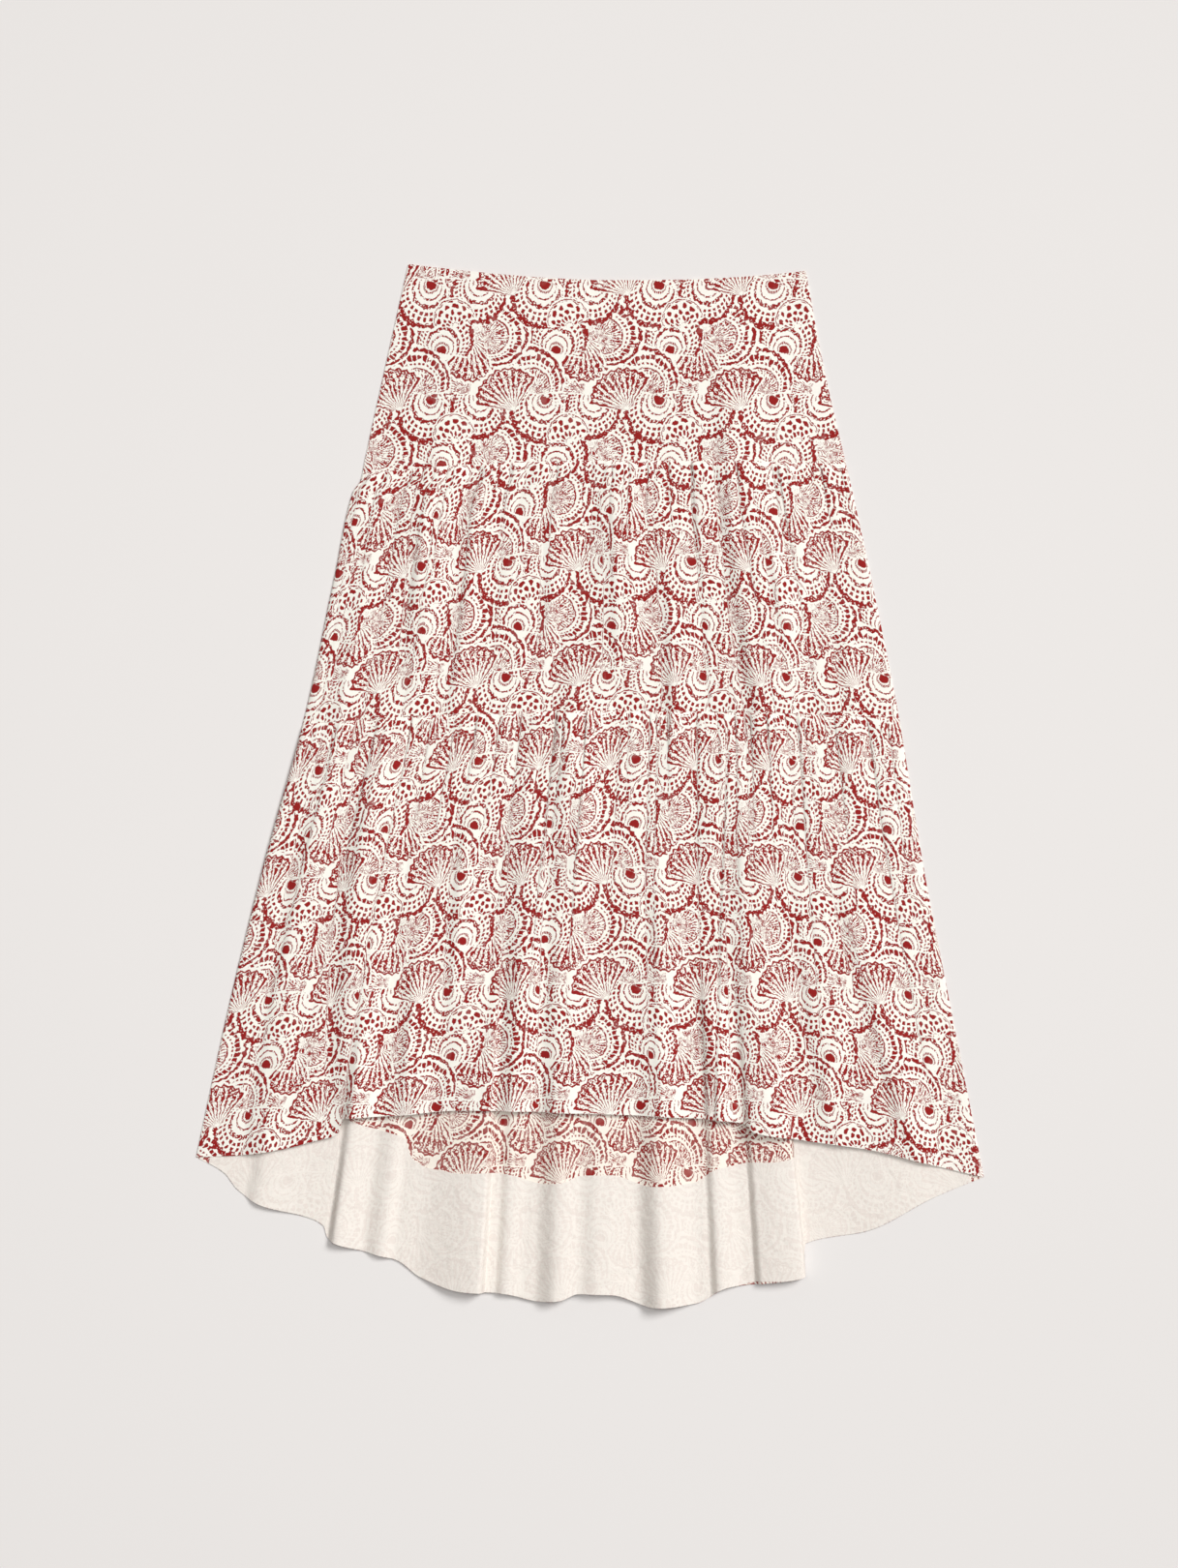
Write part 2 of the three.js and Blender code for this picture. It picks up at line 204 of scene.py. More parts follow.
# Each piece: the width and depth that it was cut to before it was gathered, and the share of that
# rectangle that it fills, or None for all of it; where its print starts, across and down; and its
# grid, as columns for a fineness of 1, rows, and how they crowd at the top, where 1 is evenly.
# The facing shows the print of the tier behind it.
Piece = namedtuple("Piece", "wide deep filled start_across start_down columns rows crowding")
PIECES = {
    "front_yoke": Piece(450, 195, 0.85, 12, 6, 0.266, 60, 1),
    "front_upper_tier": Piece(650, 246, None, 71, 40, 0.875, 62, 1.3),
    "front_lower_tier": Piece(830, 428, 0.9, 33, 88, 1, 72, 1.3),
    "back_yoke": Piece(450, 195, 0.85, 50, 15, 0.172, 40, 1),
    "back_upper_tier": Piece(650, 246, None, 9, 62, 0.429, 44, 1.3),
    "back_lower_tier": Piece(830, 552, 0.88, 88, 25, 0.555, 96, 1.1),
    "back_hem_facing": Piece(800, 110, None, 88, 25, 0.555, 40, 1),
}
# The steps of the two hems and by how much columns crowd there, within this share of the width
FRONT_STEPS = (0.18, 0.705), 1.0
BACK_STEPS = (0.182, 0.378, 0.7, 0.7635), 3.0
CROWDING_REACH = 0.012
CROWDING_SAMPLES = 4001

# The facing's stitches: the row of its grid that they follow, their lift, and their proportions
STITCH_ROW = 1
STITCH_LIFT = 0.12
STITCH_FORM = (1, 0.24, 0.16)

# The photograph: its size in pixels, the pixel of the waist's highest point, and a pixel's size
PHOTO_WIDE, PHOTO_TALL = 1217, 1620
PHOTO_WAIST_ROW = 273
PHOTO_CENTRE_COLUMN = 609.5
PIXEL = 0.9


def amount(name, description, default, unit="LENGTH"):
    return FloatProperty(name=name, description=description, default=default, unit=unit)


def tint(name, description, default):
    return FloatVectorProperty(name=name, description=description, default=default, subtype="COLOR")


class SkirtCloth(bpy.types.PropertyGroup):
    """Sizes of the cloth, of its threads and of the stitches."""

    thickness: amount("Cotton", "Thickness of the printed cotton", 0.0005)
    lawn: amount("Lawn", "Thickness of the facing", 0.0003)
    thread: amount("Thread pitch", "Distance between two threads", 0.00042)
    stitch: amount("Stitch", "Length of a stitch of the facing", 0.0016)
    stitch_pitch: amount("Stitch pitch", "Distance between two stitches", 0.006)
    fineness: IntProperty(
        name="Fineness",
        description="Columns across the front lower tier",
        default=640, min=60, max=640,
    )


class SkirtColours(bpy.types.PropertyGroup):
    """Colours of the cloth and of the surface under it."""

    cream: tint("Cream", "Ground of the print", (0.93, 0.90, 0.825))
    ink: tint("Ink", "Brick red of the print", (0.29, 0.0098, 0.0088))
    inside: tint("Inside", "Ground of the wrong side", (0.93, 0.855, 0.76))
    lawn: tint("Lawn", "Plain facing", (0.852, 0.797, 0.732))
    floor: tint("Floor", "Surface under the skirt", (0.80, 0.774, 0.757))


class SkirtStage(bpy.types.PropertyGroup):
    """The lights and the camera."""

    camera_height: amount("Camera height", "Distance from the surface", 3.2)
    key: amount("Key", "Strength of the light from the upper right", 2.3, "NONE")
    overhead: amount("Overhead", "Power of the light overhead", 50, "POWER")
    ambient: amount("Ambient", "Strength of the light all round", 0.18, "NONE")


def smooth(t):
    """0 below 0, 1 above 1 and a soft step between them."""
    t = np.clip(t, 0, 1)
    return t * t * (3 - 2 * t)


def crest(distance, rise, fall):
    """One rounded crest, 1 at its middle and 0 beyond its two half-widths."""
    share = np.abs(distance) / np.where(distance < 0, rise, fall)
    return (1 + np.cos(np.pi * np.minimum(share, 1))) / 2


def curve_through(rows):
    """A smooth curve through rows of place and value, which doesn't swing past a sharp step."""
    at, value = np.array(rows, dtype=float).T
    secant = np.diff(value) / np.diff(at)
    before, after = secant[:-1], secant[1:]
    turns = before * after <= 0
    inner = np.where(turns, 0, 2 * before * after / np.where(turns, 1, before + after))
    slope = np.concatenate([secant[:1], inner, secant[-1:]])

    def curve(x):
        i = np.clip(np.searchsorted(at, x, side="right") - 1, 0, len(at) - 2)
        step = at[i + 1] - at[i]
        t = (x - at[i]) / step
        inside = np.minimum(t, 1)
        t2, t3 = inside**2, inside**3
        return (
            (2 * t3 - 3 * t2 + 1) * value[i]
            + (t3 - 2 * t2 + inside) * step * slope[i]
            + (3 * t2 - 2 * t3) * value[i + 1]
            + (t3 - t2) * step * slope[i + 1]
            + slope[-1] * np.maximum(t - 1, 0) * step
        )

    return curve


def bent_edge(left, centre, right, bend_left, bend_right):
    """The waist edge or a seam as a function of the share across."""

    def edge(across):
        side = np.where(across < 0.5, left, right)
        bend = np.where(across < 0.5, bend_left, bend_right)
        return centre + (side - centre) * np.abs(2 * across - 1) ** bend

    return edge


left_side = curve_through([(down, left) for down, left, _ in SIDES])
right_side = curve_through([(down, right) for down, _, right in SIDES])
waist = bent_edge(*WAIST)
upper_seam = bent_edge(*UPPER_SEAM)
lower_seam = bent_edge(*LOWER_SEAM)
front_hem = curve_through(FRONT_HEM)
back_hem = curve_through(BACK_HEM)
facing_depth = curve_through(FACING_DEPTHS)


def width_at(down):
    return right_side(down) - left_side(down)


def lattice(i, j, seed):
    """A fixed number from 0 to 1 for each point of a grid."""
    mixed = np.sin(i * 12.9898 + j * 78.233 + seed * 37.719) * 43758.5453
    return mixed - np.floor(mixed)


def soft_noise(x, y, seed):
    """Smooth noise from -1 to 1, with a new value at each whole number."""
    i, j = np.floor(x), np.floor(y)
    s, t = smooth(x - i), smooth(y - j)
    near = lattice(i, j, seed) * (1 - s) + lattice(i + 1, j, seed) * s
    far = lattice(i, j + 1, seed) * (1 - s) + lattice(i + 1, j + 1, seed) * s
    return 2 * (near * (1 - t) + far * t) - 1


def creases(across, down, rows):
    """Shallow creases that run down the cloth."""
    x = across * width_at(down)
    height = 0
    for wide, tall, deep, seed in rows:
        bend = CREASE_BEND * soft_noise(x / wide, down / tall, seed + 1)
        height = height + deep * soft_noise(x / wide + bend, down / tall, seed)
    return height


def passes(count):
    """1 at each point where a count goes up on the way across, and 0 elsewhere."""
    return np.maximum(np.diff(count, axis=1, prepend=count[:, :1]), 0)


def gathers(across, below, rows):
    """Gathers beside a seam, steep on one side: height, lean, and where cloth is tucked in."""
    below = np.maximum(below, 0)
    height = lean = tucked = 0
    uneven, uneven_rate = GATHER_SPACING
    swing, swing_rate, swing_length = GATHER_SWAY
    low, more_height = GATHER_HEIGHTS
    short, more_reach = GATHER_REACHES
    for count, tall, reach in rows:
        place = across * count
        sway = swing * soft_noise(place * swing_rate, below / (swing_length * reach), count)
        spacing = uneven * soft_noise(place * uneven_rate, 0 * below, count + 1)
        phase = place + spacing + sway
        number = np.floor(phase)
        to_left = np.where(lattice(number, 0, count + 4) < GATHER_LEFT, 1, -1)
        share = np.where(to_left > 0, phase - number, number + 1 - phase)
        own = low + more_height * lattice(number, 0, count + 2)
        own_reach = reach * (short + more_reach * lattice(number, 1, count + 3))
        full = tall * own * np.exp(-below / own_reach)
        one = full * np.sin(np.pi * np.sqrt(share))
        height = height + one
        lean = lean - to_left * GATHER_LEAN * one
        tucked = tucked + full * passes(number)
    started = 1 - np.exp(-below / GATHER_START)
    return height * started, lean * started, tucked


def from_side(across, down):
    """Distance of a point from the nearer side seam."""
    return np.minimum(across, 1 - across) * width_at(down)


def side_round(across, down):
    """0 on a side seam, rising in a quarter round to 1 inside it."""
    inside = np.clip(from_side(across, down) / SIDE_ROUND, 0, 1)
    return np.sqrt(np.maximum(1 - (1 - inside) ** 2, 0))


def seam_dip(distance):
    """How far cloth sinks beside a line of stitching."""
    return SEAM_DIP * np.exp(-np.maximum(distance, 0) / SEAM_DIP_REACH)


def flutes(across, down):
    """Height of the back over the surface, and how far its crests lean to the right."""
    span = width_at(down)
    grown = smooth((down - FLUTE_START) / FLUTE_LENGTH) * side_round(across, down)
    height = lean = 0
    for place, tall, rise, fall, tilt in BACK_FLUTES:
        one = tall * grown * crest((across - place) * span, rise, fall)
        height = height + one
        lean = lean + tilt * one
    return height, lean


def front_folds(across, down):
    """The front's long folds: height, how far their crests lean right, and the cloth tucked in."""
    span = width_at(down)
    height = lean = tucked = 0
    mean, swing, length = FOLD_ROLL
    for start, end, top, half_way, foot, tall, rise, fall, tilt in FRONT_FOLDS:
        last = min(end, front_hem(foot))
        run = np.clip((down - start) / (last - start), 0, 1)
        bow = half_way - (top + foot) / 2
        middle = top + (foot - top) * run + 4 * bow * run * (1 - run)
        growth = min(FOLD_GROWTH, (last - start) / 2)
        grown = smooth((down - start) / growth) * smooth((end - down) / FOLD_FADE)
        seed = round(1000 * foot + start)
        full = tall * grown * (mean + swing * soft_noise(down / length, 0 * down, seed))
        from_crest = (across - middle) * span
        one = full * crest(from_crest, rise, fall)
        height = height + one
        lean = lean + tilt * one
        tucked = tucked + full * passes((from_crest > -rise).astype(float))
    return height, lean, tucked


def spread(count, steps, crowding):
    """Places from 0 to 1, closer together at the steps."""
    fine = np.linspace(0, 1, CROWDING_SAMPLES)
    density = np.ones_like(fine)
    for place in steps:
        density += crowding * np.exp(-(((fine - place) / CROWDING_REACH) ** 2))
    run = np.concatenate([[0], np.cumsum((density[1:] + density[:-1]) / 2)])
    return np.interp(np.linspace(0, run[-1], count + 1), run, fine)


def grid_of(name, steps=(), crowding=0):
    """Places across and down a piece, from 0 to 1."""
    kind = PIECES[name]
    columns = int(kind.columns * bpy.context.scene.skirt_cloth.fineness)
    rows = np.linspace(0, 1, kind.rows + 1) ** kind.crowding
    return spread(columns, steps, crowding), rows


def region(grid, top, bottom, top_gap=0, bottom_gap=0):
    """Share across and distance down of every point of a piece."""
    columns, rows = grid
    across = np.broadcast_to(columns, (len(rows), len(columns)))
    first, last = top(across) + top_gap, bottom(across) - bottom_gap
    down = first + rows[:, None] * (last - first)
    return across, down


def origin():
    """The photograph's centre line and the waist's highest point in the frame, in millimetres."""
    low, high = (corner / MM for corner in CAD_BOX)
    middle = (low.x + high.x) / 2
    return middle - (left_side(FRONT_HEM[0][1]) + right_side(FRONT_HEM[-1][1])) / 2, high.y


def placed(across, down, height, lean=0):
    """Points in the frame, in millimetres, from places on the cloth and heights over the floor."""
    centre, top = origin()
    x = left_side(down) + across * width_at(down) + lean + centre
    return np.stack([x, top - down, height + 0 * down], axis=-1)


def lifted(points, distance):
    """The same points moved out of the cloth's upper side."""
    right = np.gradient(points, axis=1)
    down = np.gradient(points, axis=0)
    out = np.cross(down, right)
    out *= np.sign(out[..., 2:]) / np.linalg.norm(out, axis=-1, keepdims=True)
    return points + distance * out


def along(points, width, tucked):
    """Distance across the cloth of each point, where width is what the piece was cut to."""
    steps = np.diff(points, axis=1)
    shown = np.linalg.norm(steps, axis=-1)
    takes = np.abs(steps[..., 2]) + FOOT_TAKES * tucked[:, 1:]
    spare = np.maximum(width - shown.sum(axis=1, keepdims=True), 0) * TUCKED_SHARE
    shown = shown + spare * takes / takes.sum(axis=1, keepdims=True)
    run = np.concatenate([np.zeros((len(points), 1)), np.cumsum(shown, axis=1)], axis=1)
    return run / run[:, -1:] * width


def front_height(across, down, extra, extra_lean):
    """The front's upper side: the back under it, its puff, its long folds, and the extra height."""
    back, back_lean = flutes(across, down)
    folds, lean, tucked = front_folds(across, down)
    edge = side_round(across, down)
    below = down - waist(across)
    puff = PUFF * (WAIST_PUFF + (1 - WAIST_PUFF) * smooth(below / PUFF_REACH))
    puff = puff * smooth(from_side(across, down) / SIDE_PUFF_REACH)
    stack = SEAM_STACK + (FRONT_STACK - SEAM_STACK) * edge
    height = back + stack + (puff + folds + extra) * edge
    return height, back_lean + (lean + extra_lean) * edge, tucked


def front_yoke_form():
    """A piece's points, and where each lies on the flat cloth, across it and down from its top."""
    across, down = region(grid_of("front_yoke"), waist, upper_seam, bottom_gap=SEAM_GAP)
    to_seam = upper_seam(across) - down
    drawn, tilt, _ = gathers(across, to_seam, YOKE_PUCKERS)
    worn = creases(across, down, YOKE_CREASES) * smooth(to_seam / SEAM_FADE)
    height, lean, _ = front_height(across, down, worn + drawn, tilt)
    points = placed(across, down, height - seam_dip(to_seam), lean)
    return points, points[..., 0], down


def front_upper_form():
    name = "front_upper_tier"
    across, down = region(grid_of(name), upper_seam, lower_seam, SEAM_GAP, SEAM_GAP)
    below, to_seam = down - upper_seam(across), lower_seam(across) - down
    calm = smooth(below / SEAM_FADE) * smooth(to_seam / SEAM_FADE)
    gathered, tilt, tucked = gathers(across, below, UPPER_GATHERS)
    drawn, drawn_tilt, _ = gathers(across, to_seam, TIER_PUCKERS)
    worn = creases(across, down, TIER_CREASES) * calm
    height, lean, folded = front_height(across, down, worn + gathered + drawn, tilt + drawn_tilt)
    points = placed(across, down, height - seam_dip(below) - seam_dip(to_seam), lean)
    return points, along(points, PIECES[name].wide, tucked + folded), below


def front_lower_form():
    name = "front_lower_tier"
    grid = grid_of(name, *FRONT_STEPS)
    across, down = region(grid, lower_seam, front_hem, SEAM_GAP)
    below = down - lower_seam(across)
    gathered, tilt, tucked = gathers(across, below, LOWER_GATHERS)
    worn = creases(across, down, TIER_CREASES) * smooth(below / SEAM_FADE)
    height, lean, folded = front_height(across, down, worn + gathered, tilt)
    points = placed(across, down, height - seam_dip(below), lean)
    return points, along(points, PIECES[name].wide, tucked + folded), below


def back_face(across, down, extra):
    """Underside of the back, which rests on the surface."""
    height, lean = flutes(across, down)
    return placed(across, down, height + FLOOR_CLEARANCE + np.maximum(extra, 0), lean)


def back_yoke_form():
    across, down = region(grid_of("back_yoke"), waist, upper_seam, bottom_gap=SEAM_GAP)
    calm = smooth((upper_seam(across) - down) / SEAM_FADE)
    points = back_face(across, down, creases(across, down, BACK_CREASES[:1]) * calm)
    return points, points[..., 0], down


def back_upper_form():
    name = "back_upper_tier"
    across, down = region(grid_of(name), upper_seam, lower_seam, SEAM_GAP, SEAM_GAP)
    below = down - upper_seam(across)
    calm = smooth(below / SEAM_FADE) * smooth((lower_seam(across) - down) / SEAM_FADE)
    gathered, _, tucked = gathers(across, below, BACK_GATHERS)
    points = back_face(across, down, creases(across, down, BACK_CREASES) * calm + gathered)
    return points, along(points, PIECES[name].wide, tucked), below


def back_lower_points(across, down):
    """Underside of the back lower tier at any place, and where cloth is tucked in."""
    below = down - lower_seam(across)
    rest = 1 - smooth((down - FLUTE_START) / FLUTE_LENGTH)
    calm = rest * smooth(below / SEAM_FADE)
    gathered, _, tucked = gathers(across, below, BACK_GATHERS)
    points = back_face(across, down, gathered + creases(across, down, BACK_CREASES) * calm)
    ripple = creases(across, down, TIER_CREASES[1:]) * (1 - rest) * HEM_RIPPLE
    return lifted(points, ripple[..., None]), tucked


def back_lower_form():
    name = "back_lower_tier"
    grid = grid_of(name, *BACK_STEPS)
    across, down = region(grid, lower_seam, back_hem, SEAM_GAP)
    points, tucked = back_lower_points(across, down)
    return points, along(points, PIECES[name].wide, tucked), down - lower_seam(across)


def facing_form():
    """The facing lies on the back's own points, moved out, and stops short of the side seams."""
    columns, rows = grid_of("back_hem_facing", *BACK_STEPS)
    across = np.broadcast_to(columns, (len(rows), len(columns)))
    hem = back_hem(across)
    away, place, rise, fall = FACING_STEP
    last = hem - FACING_GAP - away * crest((across - place) * width_at(hem), rise, fall)
    down = last + (rows[:, None] - 1) * facing_depth(across)
    points, tucked = back_lower_points(across, down)
    run = along(points, PIECES["back_lower_tier"].wide, tucked)
    kept = (columns > FACING_INSET) & (columns < 1 - FACING_INSET)
    points = lifted(points, FACING_LIFT)
    return points[:, kept], run[:, kept], (down - lower_seam(across))[:, kept]


def cloth_piece(name, points, run, depth, outside_down=False):
    """A sheet of cloth: a grid whose points are moved to the given ones, row by row."""
    rows, columns = points.shape[:2]
    sheet = bmesh.new()
    sheet.loops.layers.uv.new("Cloth")
    bmesh.ops.create_grid(
        sheet, x_segments=columns - 1, y_segments=rows - 1, size=0.5, calc_uvs=True
    )
    if outside_down:
        bmesh.ops.reverse_faces(sheet, faces=sheet.faces[:])
    for edge in sheet.edges:
        edge.smooth = not edge.is_boundary
    mesh = mesh_of(name, sheet)
    flat = np.empty(len(mesh.vertices) * 3)
    mesh.vertices.foreach_get("co", flat)
    flat = flat.reshape(-1, 3)
    column = np.rint((flat[:, 0] + 0.5) * (columns - 1)).astype(int)
    row = np.rint((0.5 - flat[:, 1]) * (rows - 1)).astype(int)
    mesh.vertices.foreach_set("co", (points[row, column] * MM).ravel())
    corner = np.empty(len(mesh.loops), dtype=int)
    mesh.loops.foreach_get("vertex_index", corner)
    kind = PIECES[name]
    right, up = run[row, column] + kind.start_across, -depth[row, column] - kind.start_down
    cloth = np.stack([right, up], axis=-1)
    mesh.uv_layers["Cloth"].data.foreach_set("uv", (cloth[corner] * MM).ravel())
    return smooth_piece(name, mesh)


def mesh_of(name, form):
    mesh = bpy.data.meshes.new(name)
    form.to_mesh(mesh)
    form.free()
    return mesh


def linked(name, data):
    thing = bpy.data.objects.new(name, data)
    bpy.context.collection.objects.link(thing)
    return thing


def smooth_piece(name, mesh):
    mesh.polygons.foreach_set("use_smooth", np.ones(len(mesh.polygons), dtype=bool))
    mesh.update()
    return linked(name, mesh)


def give_thickness(piece, thickness, outer, inner):
    """A live Solidify modifier: the modelled face stays outside and the wall grows inwards."""
    piece.data.materials.append(outer)
    piece.data.materials.append(inner)
    wall = piece.modifiers.new("Wall", "SOLIDIFY")
    wall.thickness = thickness
    wall.offset = -1
    wall.material_offset = 1
    wall.material_offset_rim = 0


def declare(piece, node):
    """Hides the CAD part that a sheet replaces and attaches the sheet to the root body."""
    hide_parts(node)
    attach(piece, "root")


def add_panel(name, form, outside_down=False):
    """A panel of printed cotton, printed side out, in place of its CAD part."""
    piece = cloth_piece(name, *form, outside_down)
    printed, wrong = material_of("Printed cotton"), material_of("Wrong side of the print")
    give_thickness(piece, bpy.context.scene.skirt_cloth.thickness, printed, wrong)
    declare(piece, name)


FLOAT = "NodeSocketFloat"
VECTOR = "NodeSocketVector"


class Nodes:
    """Adds nodes to one tree and links or sets what they are given."""

    def __init__(self, tree):
        self.tree = tree

    def add(self, kind, values=(), **settings):
        node = self.tree.nodes.new(kind)
        for name, value in settings.items():
            setattr(node, name, value)
        for socket, value in zip(node.inputs, values):
            self.feed(socket, value)
        return node

    def feed(self, socket, value):
        if isinstance(value, bpy.types.NodeSocket):
            self.tree.links.new(value, socket)
        elif value is not None:
            socket.default_value = value

    def math(self, operation, *values, clamp=False):
        return self.add("ShaderNodeMath", values, operation=operation, use_clamp=clamp).outputs[0]

    def vector(self, operation, *values, output=0):
        return self.add("ShaderNodeVectorMath", values, operation=operation).outputs[output]

    def times(self, *values):
        return reduce(partial(self.math, "MULTIPLY"), values)

    def most(self, *values):
        return reduce(partial(self.math, "MAXIMUM"), values)

    def linear(self, value, factor, start):
        return self.math("MULTIPLY_ADD", value, factor, start)

    def near(self, value, middle, reach):
        """1 where the value is within reach of the middle, and 0 elsewhere."""
        return self.math("COMPARE", value, middle, reach)

    def over(self, value, limit):
        return self.math("GREATER_THAN", value, limit)

    def under(self, value, limit):
        return self.math("LESS_THAN", value, limit)

    def beats(self, value, count, shift=0.0):
        """Distance, up to a half, from the nearest of count evenly spaced marks."""
        return self.math("PINGPONG", self.linear(value, count, shift), 0.5)

    def level(self, far, angle, bend):
        """Distance from the hinge along bands whose ends bend down towards it."""
        return self.times(far, self.linear(self.times(angle, angle), bend, 1))

    def noise(self, vector, scale, detail=0.0):
        node = self.add("ShaderNodeTexNoise", noise_dimensions="2D")
        self.feed(node.inputs["Vector"], vector)
        self.feed(node.inputs["Scale"], scale)
        self.feed(node.inputs["Detail"], detail)
        return node

    def blend(self, factor, first, second):
        node = self.add("ShaderNodeMix", data_type="RGBA")
        for name, value in (("Factor_Float", factor), ("A_Color", first), ("B_Color", second)):
            socket = next(s for s in node.inputs if s.identifier == name)
            self.feed(socket, value)
        return next(s for s in node.outputs if s.identifier == "Result_Color")

    def use(self, tree, **values):
        """A node group with its inputs given by name."""
        node = self.add("ShaderNodeGroup", node_tree=tree)
        for name, value in values.items():
            self.feed(node.inputs[name], value)
        return node.outputs


def node_group(name, inputs, make):
    """A shader node group, built once. make gets its nodes and inputs, and returns the outputs."""
    if name in bpy.data.node_groups:
        return bpy.data.node_groups[name]
    tree = bpy.data.node_groups.new(name, "ShaderNodeTree")
    for kind, names in inputs.items():
        for label in names:
            tree.interface.new_socket(label, in_out="INPUT", socket_type=kind)
    nodes = Nodes(tree)
    results = make(nodes, nodes.add("NodeGroupInput").outputs)
    for label in results:
        tree.interface.new_socket(label, in_out="OUTPUT", socket_type=FLOAT)
    end = nodes.add("NodeGroupOutput")
    for label, value in results.items():
        nodes.feed(end.inputs[label], value)
    return tree


# One repeat of the print, in millimetres: width and height
REPEAT = (106.0, 107.0)

# The shells of one repeat, the lowest first: kind, hinge across, hinge up, turn in degrees from
# straight up, and length from hinge to rim
SHELLS = [
    ("whelk", 14, 42, 20, 17),
    ("spotted", 50, 0, -40, 32),
    ("rayed", 8, 90, -80, 42),
    ("fan", 8, 34, 165, 43),
    ("rayed", 66, 87, -6, 45),
    ("banded", 87, 19, 15, 43),
    ("rayed", 20, 33, 74, 43),
    ("banded", 79, 86, 200, 45),
    ("banded", 18, 88, 188, 42),
    ("fan", 49, 73, -24, 42),
    ("spotted", 101, 43, -12, 27),
]


def shell_place(n, given):
    """Where a point lies on one shell: its distance from the hinge, 1 at the rim, and its angle."""
    from_hinge = n.vector("SUBTRACT", given["Cloth"], given["Hinge"])
    half = (REPEAT[0] / 2, REPEAT[1] / 2, 1)
    nearest = n.vector("WRAP", from_hinge, half, tuple(-side for side in half))
    part = n.add("ShaderNodeSeparateXYZ", [nearest]).outputs
    angle = n.math("SUBTRACT", n.math("ARCTAN2", part[0], part[1]), given["Turn"])
    angle = n.math("WRAP", angle, math.pi, -math.pi)
    distance = n.math("DIVIDE", n.vector("LENGTH", nearest, output=1), given["Size"])
    return {"Distance": distance, "Angle": angle}


# The drawings of the shells get the distance from the hinge, 1 at the rim, the angle from the
# shell's middle, and two noises that thin a line and break it. They give the ink and what the shell
# covers. Lengths in them are shares of the shell's length, and angles are radians.


def fan_shell(n, far, angle, grain, fleck):
    """Ribs that spread from the hinge and break up towards a lobed rim."""
    steep = n.math("ABSOLUTE", angle)
    rib = n.beats(angle, 5.2)
    rim = n.linear(n.times(angle, angle), -0.13, n.linear(rib, -0.10, 0.985))
    weight = n.linear(n.times(far, grain), 0.70, 0.065)
    broken = n.over(fleck, n.linear(n.times(far, far), 0.20, 0.24))
    ribs = n.times(n.under(rib, weight), broken, n.near(far, 0.5, 0.41))
    between = n.times(n.over(rib, 0.45), n.near(far, 0.62, 0.24), n.over(fleck, 0.58))
    edge = n.near(far, rim, 0.042)
    flank = n.near(steep, 0.96, 0.035)
    ink = n.times(n.most(ribs, between, edge, flank), n.under(far, rim), n.under(steep, 0.99))
    return ink, n.times(n.under(n.math("SUBTRACT", far, 0.06), rim), n.under(steep, 1.04))


# Rows of dashes on a banded shell: place, half of the row's depth, and how full it is up to a half
BANDED_ROWS = [(0.235, 0.024, 0.36), (0.695, 0.032, 0.30), (0.81, 0.040, 0.24)]


def banded_shell(n, far, angle, grain, fleck):
    """A solid cap, wide plain bands between thin ones, rows of dashes and a bold toothed rim."""
    level = n.level(far, angle, 0.36)
    dash = n.beats(angle, 6.4)
    whole = n.over(fleck, 0.36)
    rows = [n.times(n.near(level, at, deep), n.under(dash, full)) for at, deep, full in BANDED_ROWS]
    cap = n.near(level, 0.095, 0.08)
    hair = n.times(n.near(level, 0.385, 0.019), whole)
    band = n.times(n.near(level, 0.545, n.times(grain, 0.085)), whole)
    tooth = n.linear(n.beats(angle, 8.0), 0.07, 0.93)
    rim = n.times(n.near(level, tooth, n.linear(grain, 0.12, 0.004)), n.over(fleck, 0.25))
    ink = n.times(n.most(cap, hair, band, rim, *rows), n.near(angle, 0, 1.42))
    return ink, n.times(n.under(level, 1.05), n.near(angle, 0, 1.5))


def rayed_shell(n, far, angle, grain, fleck):
    """A disc of fine rays inside two beaded bands."""
    level = n.level(far, angle, 0.26)
    ray = n.beats(angle, 7.3)
    fine = n.under(ray, n.linear(grain, 0.66, -0.05))
    rays = n.times(fine, n.over(fleck, 0.38), n.near(level, 0.28, 0.25))
    ring = n.times(n.near(level, 0.56, 0.020), n.over(fleck, 0.32))
    dots = n.times(n.near(level, 0.665, 0.020), n.under(ray, 0.27))
    beads = n.times(n.near(level, 0.79, n.linear(grain, 0.13, -0.012)), n.under(ray, 0.40))
    rim = n.times(n.near(level, 0.955, n.linear(grain, 0.085, -0.002)), n.over(fleck, 0.25))
    ink = n.times(n.most(rays, ring, dots, beads, rim), n.near(angle, 0, 1.5))
    return ink, n.times(n.under(level, 1.06), n.near(angle, 0, 1.6))


def spotted_shell(n, far, angle, grain, fleck):
    """Rows of bold spots, set like bricks."""
    level = n.level(far, angle, 0.22)
    rows = n.times(level, 4.6)
    aside = n.beats(angle, 2.4, n.times(n.math("FLOOR", rows), 0.5))
    off = n.math("SUBTRACT", n.math("FRACT", rows), 0.5)
    apart = n.linear(n.times(aside, aside), 1.5, n.times(off, off))
    spots = n.times(n.under(apart, n.linear(grain, 0.37, -0.035)), n.near(level, 0.55, 0.39))
    rim = n.times(n.near(level, 0.985, 0.019), n.over(fleck, 0.3))
    ink = n.times(n.most(spots, rim), n.near(angle, 0, 1.27))
    return ink, n.times(n.under(level, 1.06), n.near(angle, 0, 1.35))


